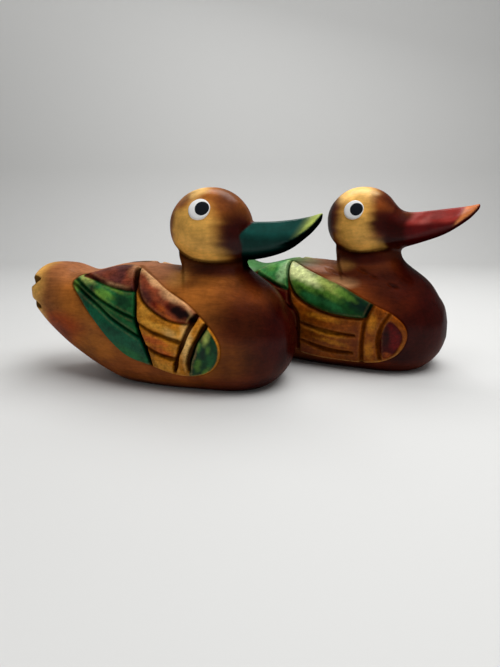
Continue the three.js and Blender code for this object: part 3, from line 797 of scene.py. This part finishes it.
def bill_paint(duck, p, colour, cover, lit_top_colour, side_colour, rim_colour):
    """Paints the bill: the new colour, where the paint is thick, and where its lower edge is black, a painted
    shade. Its top is painted lighter, a painted highlight.
    """
    x, y, z = p.T
    paint_edge, facet = duck["paint_edge"], duck["bill_facet"]
    top, bottom, _ = stations(duck, "bill", x)
    rise = z - bottom
    edge = paint_edge["x"] + paint_edge["lean"] * ramp(z, top - 7, top + 2) + 0.5 * np.sin(z / 2.3)
    on_bill = ramp(x, edge, edge + paint_edge["soft"]) * ramp(z, 62, HEAD_FROM)
    roof, side, keel = bill_faces(duck, p)
    on_top = ramp(roof - np.maximum(side, keel), -1.5, 1.5)
    # How far up the keel the painted shade reaches; at the front it is black.
    black = np.interp(x, (60, duck["bill_run"][-1, 0]), facet["keel"])
    ahead = x - facet["x"] - facet["lean"] * (z - facet["z"])
    lit = ramp(ahead, -facet["soft"], facet["soft"]) * ramp(rise, black, black + 1)
    lit = lit * (1 - (1 - facet["on_top"]) * on_top)
    # Pinkish patches on the bill's top, partly scuffs and partly a painted highlight.
    scuff_and_highlight = np.sin(0.37 * x + 1.1 * np.sin(0.5 * y)) * np.sin(0.45 * y + 0.9 * np.sin(0.3 * x) + 0.6)
    scuff_and_highlight = ramp(scuff_and_highlight, -0.6, 1.0) * ramp(x, 42, 48) * fade(x, 54, 66)
    # Darker towards the bottom of the bill's side and black along its keel: painted shade.
    under = fade(rise / np.maximum(top - bottom, 0.5), 0.08, 0.34)
    under = np.maximum(under, fade(rise, black - 0.4, black + 0.4) * ramp(x, 58, 68))
    paint = layered(
        side_colour, (on_top, lit_top_colour), (on_top * scuff_and_highlight * duck["bill_scuffs_and_highlights"], SCUFF_AND_HIGHLIGHT_RED),
        (under, side_colour * facet["shade"]), (1.6 * lit, (rim_colour + 2 * side_colour) / 3),
        (1.8 * lit - 0.8, rim_colour),
    )
    thick = on_bill * (1 - lit)
    return spread(on_bill, paint, colour), np.maximum(cover, thick), thick * under * (1 - facet["shade"])


def cut_stain_and_shade(duck, p, marks):
    """Dark stain that settled in the cuts, with painted shade in the crease under the head and in the corner at
    the back of the neck.
    """
    x, _, z = p.T
    inside = on_wing(marks, -0.6, 0.2)
    cuts = [cut["dark"] * fade(marks[kind], -0.2, cut["soft"]) * inside for kind, cut in duck["cuts"].items()]
    rim = fade(np.abs(marks["edge"] + 0.25), 0.05, 0.7) * ramp(marks["strip"], 0, 1)
    uneven = 0.5 + 0.5 * np.sin(x / 3.7 + 1) * np.sin(z / 4.9)
    rim = rim * (0.25 + 0.4 * uneven) * (0.3 + 0.7 * ramp(z, 24, 44))
    notch = 0.88 * ramp(tail_notches(duck, p), -0.5, 0.0)
    neck = neck_form(duck, p)
    # The crease under the head and the sawn corner at the back of the neck are darkened as painted shade.
    crease = 0.8 * fade(np.abs(neck) + np.abs(head_form(duck, p)), 0.4, 2.4) * (z > 62)
    sawn = fade(np.abs(past_saw_line(duck, p) + 0.5), 0.2, 1.3)
    sawn = 0.5 * sawn * fade(neck, 4, 9) * ramp(z, 52, 56) * fade(z, 66, 70)
    return np.max([*cuts, rim, notch, crease, sawn], 0)


def rubbed_edges_and_glints(duck, p, marks):
    """Sanded and handled edges, where the stain is thin; beside the fine cuts partly a painted glint."""
    x, y, z = p.T
    lip = fade(np.abs(marks["edge"] - 1), 0.2, 0.9) * (0.35 * fade(z, 12, 22) + 0.2 * ramp(z, 40, 60))
    beside_deep = fade(np.abs(marks["deep"] - 1.0), 0.2, 0.8) * 0.25 * ramp(x, 4, 8)
    # Light lines beside the fine cuts, partly sanded edges and partly a painted glint on the cut walls.
    beside_fine_wear_and_glint = fade(np.abs(marks["fine"] - 1.2), 0.1, 0.9) * 0.09 * ramp(marks["deep"], 0.5, 1.5)
    reach = x - duck["body"][0][0] + 2.0 * np.sin(z / 3.3) * np.sin(y / 4.1)
    tail = fade(reach, 2, 11) * ramp(z, 26, 36)
    notch = tail_notches(duck, p)
    lobe = 0.9 * ramp(notch, -3.0, -0.6) * fade(notch, -0.5, -0.2)
    inside = on_wing(marks, 0, 0.5)
    return np.clip(np.max([lip * inside, beside_deep * inside, beside_fine_wear_and_glint * inside, tail, lobe], 0), 0, 1)


def place_points(duck, p):
    """A duck's own measure to where it stands in the row, in metres."""
    turn, (x, y, z) = duck["turn"], p.T
    along = x * math.cos(turn) - y * math.sin(turn) + duck["place"][0]
    aside = x * math.sin(turn) + y * math.cos(turn) + duck["place"][1]
    return np.stack([along, aside, z], 1) * MM


def put(name, data):
    """A new object in the scene, at the origin."""
    thing = bpy.data.objects.new(name, data)
    bpy.context.scene.collection.objects.link(thing)
    return thing


def smooth_mesh(name, points, faces, materials):
    mesh = bpy.data.meshes.new(name)
    mesh.from_pydata(points, [], faces)
    mesh.polygons.foreach_set("use_smooth", [True] * len(mesh.polygons))
    for material in materials:
        mesh.materials.append(material)
    return mesh


def duck_piece(name, node, duck, points, faces, materials):
    """A smooth piece on the pair's one body, kept within its solid's own box, from a duck's own measure."""
    placed = np.clip(place_points(duck, points), *(np.array(corner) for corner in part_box(node)))
    piece = put(name, smooth_mesh(name, placed.tolist(), faces, materials))
    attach(piece, "root")
    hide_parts(node)
    return piece


def carve_duck(name, duck, node, paint, bill_colours, material):
    """One duck's block: the plain skin, made finer, coloured, carved along its own normals and marked."""
    def form(p):
        return block_form(duck, p)

    prepare(duck)
    low, high = (duck["body"][0][0] - 3, -40, -3), (84, 40, 110)
    points, faces = net_of(form, low, high, NET_STEP * (1))
    points = settle(form, points)
    for _ in range(REFINE_PASSES):
        points, faces = split_long(points, faces, lambda p: wanted_edge(duck, p))
        points = settle(form, points, 1)
    points = settle(form, points, 1)
    marks = wing_marks(duck, points)
    colour, cover = paint(duck, points, marks)
    cover = np.maximum(cover, HEAD_COVER * on_head(duck, points))
    colour, cover, black = bill_paint(duck, points, colour, cover, *bill_colours)
    slope = slope_of(form, points)
    out = slope / np.maximum(np.linalg.norm(slope, axis=1), 1e-6)[:, None]
    height = (carved_height(duck, points, marks) + hand_unevenness(points)) * ramp(points[:, 2], 0.3, 3)
    piece = duck_piece(name, node, duck, points + out * height[:, None], faces.tolist(), [material])
    # The cut mark also carries the bill's keel, darkened as painted shade.
    cut = np.maximum(cut_stain_and_shade(duck, points, marks), KEEL_SHADE * black)
    worn, brushed = rubbed_edges_and_glints(duck, points, marks), on_wing(marks, 0, 0.6)
    layer = piece.data.attributes.new("stain", "FLOAT_COLOR", "POINT")
    layer.data.foreach_set("color", np.hstack([colour, np.ones((len(points), 1))]).ravel())
    for mark, values in (("cover", cover), ("cut", cut), ("rub", worn), ("brushed", brushed)):
        piece.data.attributes.new(mark, "FLOAT", "POINT").data.foreach_set("value", values)


# Eyes.

def eye_piece(name, duck, side, node, enamel, pupil):
    """A slightly domed white disc on the head, with a black pupil set a little towards the bill."""
    centre, radii = (np.array(duck["head"][key], float) for key in ("centre", "radii"))
    run, rise = (duck["eye"][0] - centre[0]) / radii[0], (duck["eye"][1] - centre[2]) / radii[2]
    spot = np.array([run, side * math.sqrt(1 - run**2 - rise**2), rise])
    middle, out = centre + radii * spot, spot / radii
    out /= np.linalg.norm(out)
    ahead = np.array([1.0, 0, 0]) - out * out[0]
    ahead /= np.linalg.norm(ahead)
    up = np.cross(out, ahead)
    up *= math.copysign(1, up[2])

    def on_ball(q):
        return centre + (q - centre) / np.sqrt((((q - centre) / radii)**2).sum(-1, keepdims=True))

    stand, dome, sides = EYE["stand"], EYE["dome"], EYE["sides"]
    turn = np.linspace(0, 2 * math.pi, sides, endpoint=False)
    outline = EYE["radius"] * (1 + 0.012 * np.sin(2 * turn + 0.6) + 0.008 * np.sin(5 * turn))
    pupil_line = EYE["pupil"] * (1 + 0.01 * np.sin(3 * turn + 1))
    # Rings from the pupil's middle outwards: share of the white crossed, share of the pupil, height.
    rings = [(0, share, stand + dome * math.sqrt(1 - share**4)) for share in (0.3, 0.6, 0.85, 0.97)]
    on_pupil = len(rings)
    rings.append((0, 1.0, stand - 0.02))
    for share in (0.06, 0.3, 0.6, 0.8, 0.9, 0.96, 0.99, 1.0):
        fall = 1 - float(ramp(share, 0.78, 1.06))**1.5
        rings.append((share, 1.0, stand * (0.25 + 0.75 * fall)))
    rings.append((1.0, 1.0, -EYE["sink"]))
    points = []
    for away, share, height in rings:
        reach = pupil_line * share * (1 - away) + away * outline
        u = reach * np.cos(turn) + EYE["pupil_ahead"] * (1 - away)
        flat = middle + u[:, None] * ahead + (reach * np.sin(turn))[:, None] * up
        points.append(on_ball(flat) + out * height)
    crown = on_ball(middle + ahead * EYE["pupil_ahead"]) + out * (stand + dome)
    points = np.vstack([*points, crown, middle - out * (EYE["sink"] + 1.0)])
    top, bottom = len(points) - 2, len(points) - 1
    last = len(rings) - 1
    faces, kinds = [], []
    for i in range(sides):
        j = (i + 1) % sides
        faces += [(top, i, j), (bottom, last * sides + j, last * sides + i)]
        kinds += [1, 0]
        for r in range(last):
            a, b = r * sides + i, r * sides + j
            faces.append((a, a + sides, b + sides, b))
            kinds.append(1 if r < on_pupil else 0)
    if np.dot(np.cross(ahead, up), out) < 0:
        faces = [face[::-1] for face in faces]
    piece = duck_piece(name, node, duck, points, faces, [enamel, pupil])
    piece.data.polygons.foreach_set("material_index", kinds)


# Materials. Patterns are sized by how many there are to a metre, and streaks are long along the block.
STREAKS, WIDE_STREAKS, CLOUDS, MOTTLES = 900, 220, 70, 420
STREAK_STRETCH = (0.07, 1, 1)


def feed(tree, node, feeds):
    """Gives a node's sockets what comes out of other nodes, or plain values."""
    for name, value in feeds.items():
        if isinstance(value, bpy.types.NodeSocket):
            tree.links.new(value, node.inputs[name])
        else:
            node.inputs[name].default_value = value


def add_node(tree, kind, feeds=None, **settings):
    node = tree.nodes.new(kind)
    for key, value in settings.items():
        setattr(node, key, value)
    feed(tree, node, feeds or {})
    return node


def mix_colour(tree, factor, a, b, blend="MIX"):
    return add_node(tree, "ShaderNodeMix", {0: factor, 6: a, 7: b}, data_type="RGBA", blend_type=blend).outputs[2]


def maths(tree, operation, a, b, clamp=False):
    return add_node(tree, "ShaderNodeMath", {0: a, 1: b}, operation=operation, use_clamp=clamp).outputs[0]


def remap(tree, value, low, high, new_low=0.0, new_high=1.0):
    feeds = {"Value": value, "From Min": low, "From Max": high, "To Min": new_low, "To Max": new_high}
    return add_node(tree, "ShaderNodeMapRange", feeds).outputs["Result"]


def noise(tree, vector, scale, detail, roughness=0.5):
    feeds = {"Vector": vector, "Scale": scale, "Detail": detail, "Roughness": roughness}
    return add_node(tree, "ShaderNodeTexNoise", feeds).outputs["Fac"]


def mapped(tree, vector, socket, value):
    return add_node(tree, "ShaderNodeMapping", {"Vector": vector, socket: value}, vector_type="POINT").outputs[0]


def grey(tree, value):
    return add_node(tree, "ShaderNodeCombineColor", {0: value, 1: value, 2: value}).outputs[0]


def attribute(tree, name, output="Fac"):
    return add_node(tree, "ShaderNodeAttribute", attribute_name=name).outputs[output]


def new_group(name, numbers_in, numbers_out):
    """An empty group that takes a position and numbers and puts out numbers, and its two ends."""
    group = bpy.data.node_groups.new(name, "ShaderNodeTree")
    face = group.interface
    face.new_socket("Position", in_out="INPUT", socket_type="NodeSocketVector")
    for label, value in numbers_in.items():
        face.new_socket(label, in_out="INPUT", socket_type="NodeSocketFloat").default_value = value
    for label in numbers_out:
        face.new_socket(label, in_out="OUTPUT", socket_type="NodeSocketFloat")
    return group, add_node(group, "NodeGroupInput").outputs, add_node(group, "NodeGroupOutput")


def wood_grain_group():
    """Fine streaks along the block and the height they leave, slow clouds in the stain, and small mottling."""
    outputs = ("Streaks", "Clouds", "Mottle", "Height")
    group, given, out = new_group("wood grain", {"Streaks across": STREAKS}, outputs)
    where = given["Position"]
    stretched = mapped(group, where, "Scale", STREAK_STRETCH)
    fine = maths(group, "MULTIPLY", noise(group, stretched, given["Streaks across"], 4, 0.65), 0.6)
    wide = maths(group, "MULTIPLY", noise(group, stretched, WIDE_STREAKS, 3, 0.6), 0.4)
    streaks = maths(group, "ADD", fine, wide)
    feed(group, out, {"Streaks": streaks, "Clouds": noise(group, where, CLOUDS, 3, 0.55),
                      "Mottle": noise(group, where, MOTTLES, 4, 0.7), "Height": streaks})
    return group


def wear_group():
    """Where handling thins a finish: breaks a smooth mask up into small patches."""
    group, given, out = new_group("handled wear", {"Mask": 0, "Patch size": 400}, ("Worn",))
    specks = remap(group, noise(group, given["Position"], given["Patch size"], 3), 0.35, 0.65, 0.25, 1.0)
    feed(group, out, {"Worn": maths(group, "MULTIPLY", given["Mask"], specks, True)})
    return group


def use_group(tree, group, feeds):
    return add_node(tree, "ShaderNodeGroup", feeds, node_tree=group).outputs


def new_material(name):
    material = bpy.data.materials.new(name)
    material.use_nodes = True
    tree = material.node_tree
    return material, tree, tree.nodes["Principled BSDF"]


def object_place(tree):
    return add_node(tree, "ShaderNodeTexCoord").outputs["Object"]


def stained_wood(name, duck, grain, wear):
    """Stained and painted wood under a satin lacquer; the grain runs along the duck's own block."""
    material, tree, shader = new_material(name)
    where = object_place(tree)
    along = mapped(tree, where, "Rotation", (0.05, 0.06, -duck["turn"]))
    block = use_group(tree, grain, {"Position": along, "Streaks across": STREAKS})
    cover, cut, stain = attribute(tree, "cover"), attribute(tree, "cut"), attribute(tree, "stain", "Color")
    # Streaks show through the stain, and hardly through the paint.
    streak = grey(tree, remap(tree, block["Streaks"], 0.35, 0.62, 0.74, 1.13))
    streaky = mix_colour(tree, 1.0, stain, streak, "MULTIPLY")
    colour = mix_colour(tree, remap(tree, cover, 0, 1, 1.0, 0.3), stain, streaky)
    # The wings were brushed by hand, so the colour on them is mottled.
    mottle = maths(tree, "MULTIPLY", remap(tree, block["Mottle"], 0.3, 0.7, -0.4, 0.4),
                   remap(tree, attribute(tree, "brushed"), 0, 1, 0.3, 1.0))
    cloud = maths(tree, "ADD", remap(tree, block["Clouds"], 0.3, 0.7, 0.66, 1.34), mottle)
    colour = mix_colour(tree, 1.0, colour, grey(tree, cloud), "MULTIPLY")
    # Rubbed edges show bare wood, beside the fine cuts partly a painted glint; the cuts are dark and dull, and the
    # same mark darkens the crease under the head, the corner at the back of the neck and the bill's keel as
    # painted shade.
    worn = use_group(tree, wear, {"Position": where, "Mask": attribute(tree, "rub"), "Patch size": 450})["Worn"]
    colour = mix_colour(tree, maths(tree, "MULTIPLY", worn, 0.75), colour, (*BARE_AND_GLINT, 1))
    rough = remap(tree, block["Clouds"], 0.3, 0.7, 0.30, 0.46)
    gloss = maths(tree, "ADD", 0.2, maths(tree, "MULTIPLY", cover, 0.14))
    bump = add_node(tree, "ShaderNodeBump", {"Strength": 0.35, "Distance": 0.0002, "Height": block["Height"]})
    feed(tree, shader, {
        "Base Color": mix_colour(tree, cut, colour, CUT_STAIN_AND_SHADE_DARK, "MULTIPLY"),
        "Roughness": maths(tree, "ADD", rough, maths(tree, "MULTIPLY", cut, 0.25), True),
        "Coat Weight": maths(tree, "SUBTRACT", gloss, cut, True),
        "Specular IOR Level": 0.0, "Coat Roughness": 0.24, "Normal": bump.outputs[0],
    })
    return material


def eye_enamel(name, colour, roughness, gloss, wear):
    """Thick enamel paint, a little dulled in small patches."""
    material, tree, shader = new_material(name)
    where = object_place(tree)
    mask = remap(tree, noise(tree, where, 260, 2), 0.4, 0.7)
    worn = use_group(tree, wear, {"Position": where, "Mask": mask, "Patch size": 900})["Worn"]
    dull = tuple(0.8 * part for part in colour)
    feed(tree, shader, {
        "Base Color": mix_colour(tree, maths(tree, "MULTIPLY", worn, 0.5), (*colour, 1), (*dull, 1)),
        "Roughness": remap(tree, worn, 0, 1, roughness, roughness + 0.12),
        "Specular IOR Level": gloss, "Coat Weight": gloss / 3, "Coat Roughness": 0.3,
    })
    return material


grain, wear = wood_grain_group(), wear_group()
front_wood = stained_wood("front duck stained wood", FRONT, grain, wear)
rear_wood = stained_wood("rear duck stained wood", REAR, grain, wear)
white_enamel = eye_enamel("white eye enamel", (0.86, 0.86, 0.84), 0.22, 0.4, wear)
black_enamel = eye_enamel("black pupil enamel", (0.008, 0.010, 0.013), 0.42, 0.1, wear)

# Each bill's top is painted lighter than its sides, a painted highlight from the light above: teal made lighter at
# the front, red over maroon at the rear.
carve_duck("front_duck_carving", FRONT, "front_duck", front_paint, (TEAL * 1.3, TEAL, YELLOW_GREEN), front_wood)
carve_duck("rear_duck_carving", REAR, "rear_duck", rear_paint, (LIT_BILL_RED, MAROON, ORANGE_WOOD), rear_wood)
for which, duck in (("front", FRONT), ("rear", REAR)):
    for side, hand in ((1, "left"), (-1, "right")):
        eye_piece(f"{which}_{hand}_eye", duck, side, f"{which}_duck_{hand}_eye", white_enamel, black_enamel)

# Floor and sweep: flat from front to back, a quarter turn, and up. LOOK is the way the camera faces.
LOOK = Vector((-0.225, 0.974, 0))
PAPER = (0.62, 0.62, 0.61, 1)
SWEEP = {"front": -1.2, "back": 0.5, "radius": 0.16, "top": 1.6, "half": 2.0, "turns": 25}
turn = np.linspace(0, math.pi / 2, SWEEP["turns"])
run = SWEEP["back"] + SWEEP["radius"] * np.sin(turn)
profile = [(SWEEP["front"], 0), *zip(run, SWEEP["radius"] * (1 - np.cos(turn))), (run[-1], SWEEP["top"])]
across = Vector((LOOK.y, -LOOK.x, 0)) * SWEEP["half"]
sweep_points = [LOOK * a + across * side + Vector((0, 0, h)) for a, h in profile for side in (-1, 1)]
sweep_faces = [(2 * i, 2 * i + 1, 2 * i + 3, 2 * i + 2) for i in range(len(profile) - 1)]
paper, paper_tree, paper_shader = new_material("pale paper")
feed(paper_tree, paper_shader, {"Base Color": PAPER, "Roughness": 0.6, "Specular IOR Level": 0.25})
sweep = put("sweep", smooth_mesh("sweep", sweep_points, sweep_faces, [paper]))


# Light and camera.

def aim(thing, at, direction):
    thing.location = at
    thing.rotation_euler = direction.to_track_quat("-Z", "Y").to_euler()


def area_light(name, at, towards, size, power, glossy=True):
    light = bpy.data.lights.new(name, "AREA")
    light.shape = "RECTANGLE"
    light.size, light.size_y = size
    light.energy = power
    lamp = put(name, light)
    lamp.visible_glossy = glossy
    aim(lamp, at, Vector(towards) - Vector(at))


area_light("overhead softbox", (0.2, -0.09, 0.68), (0.0, 0.02, 0), (0.6, 0.5), 4.8, glossy=False)
area_light("back window", (0.04, 0.32, 0.6), (0.0, 0.0, 0.05), (0.5, 0.25), 2.0)
area_light("backdrop wash", (-0.62, 0.3, 0.8), (-0.6, 0.66, 0.4), (1.0, 0.12), 1.1, glossy=False)
world = bpy.data.worlds.new("studio")
world.use_nodes = True
feed(world.node_tree, world.node_tree.nodes["Background"], {"Color": (1, 1, 1, 1), "Strength": 0.25})
bpy.context.scene.world = world

# The camera stands where the photograph was taken: a phone held low, 0.3 m from the pair.
CAMERA_OWN = (105.3, -267.2, 100.5)
PITCH = math.radians(14.93)
FOCAL_PIXELS, FRAME_HEIGHT, SENSOR = 501, 667, 36
camera = bpy.data.cameras.new("camera")
camera.sensor_fit = "AUTO"
camera.sensor_width = SENSOR
camera.lens = FOCAL_PIXELS / FRAME_HEIGHT * SENSOR
camera.dof.use_dof = False
camera.clip_start = 0.01
eye = put("camera", camera)
aim(eye, (Vector(CAMERA_OWN) + Vector(FRONT["place"])) * MM,
    LOOK.normalized() * math.cos(PITCH) - Vector((0, 0, math.sin(PITCH))))
bpy.context.scene.camera = eye
bpy.context.scene.view_settings.view_transform = "Standard"
